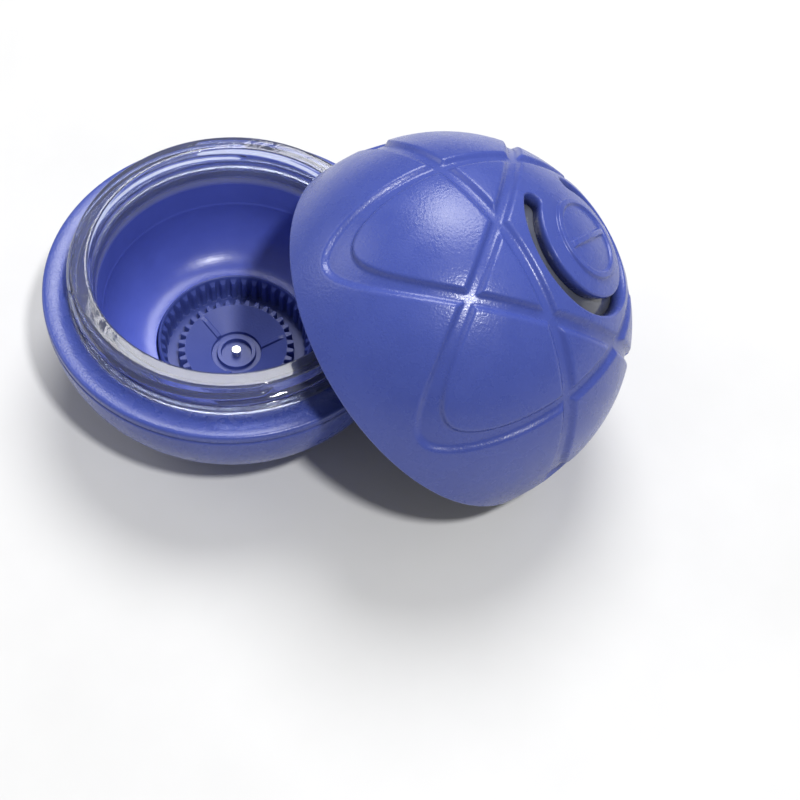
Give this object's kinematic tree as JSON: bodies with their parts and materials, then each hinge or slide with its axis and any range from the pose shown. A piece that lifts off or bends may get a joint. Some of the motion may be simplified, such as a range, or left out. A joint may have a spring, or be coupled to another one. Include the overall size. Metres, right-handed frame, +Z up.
{
  "type": "pill crusher",
  "caption": "Ball-shaped twist pill crusher, opened: a blue lower half with a clear threaded cup and a toothed floor, and a grooved dome lid leaning on it.",
  "frame": {"origin": "centre of the foot of the lower half, on the surface that it stands on", "axes": "+Z up along the lower half's axis; +X towards the lid that leans on its right"},
  "size_m": [0.1027, 0.0726, 0.058],
  "materials": {
    "blue_shell": "satin moulded",
    "blue_plate": "smooth moulded",
    "clear_plastic": "clear moulded plastic",
    "smoke_plastic": "clear plastic, dark from behind",
    "white_plastic": "smooth moulded",
    "rubber": "matte",
    "steel": "bright"
  },
  "bodies": {
    "base": {"base_shell": "blue_shell", "foot_pad": "rubber", "crush_cup": "clear_plastic", "cup_seal": "rubber", "grind_plate": "blue_plate", "centre_pin": "steel", "plate_screws": "steel"},
    "presser": {"presser": "blue_plate", "stem_cross_pin": "steel", "stem_ring": "rubber"},
    "lid": {"lid_shell": "blue_shell", "lid_liner": "smoke_plastic", "mouth_gasket": "rubber", "guide_tube": "white_plastic", "guide_screws": "steel"}
  },
  "joints": [
    {"name": "presser_pick_up", "type": "slide", "parent": "base", "child": "presser", "axis": [0.6918, 0.0752, 0.7181], "range_m": [0, 0.06]},
    {"name": "lid_draw_off", "type": "slide", "parent": "presser", "child": "lid", "axis": [0.6918, 0.0752, 0.7181], "range_m": [0, 0.0208]}
  ]
}
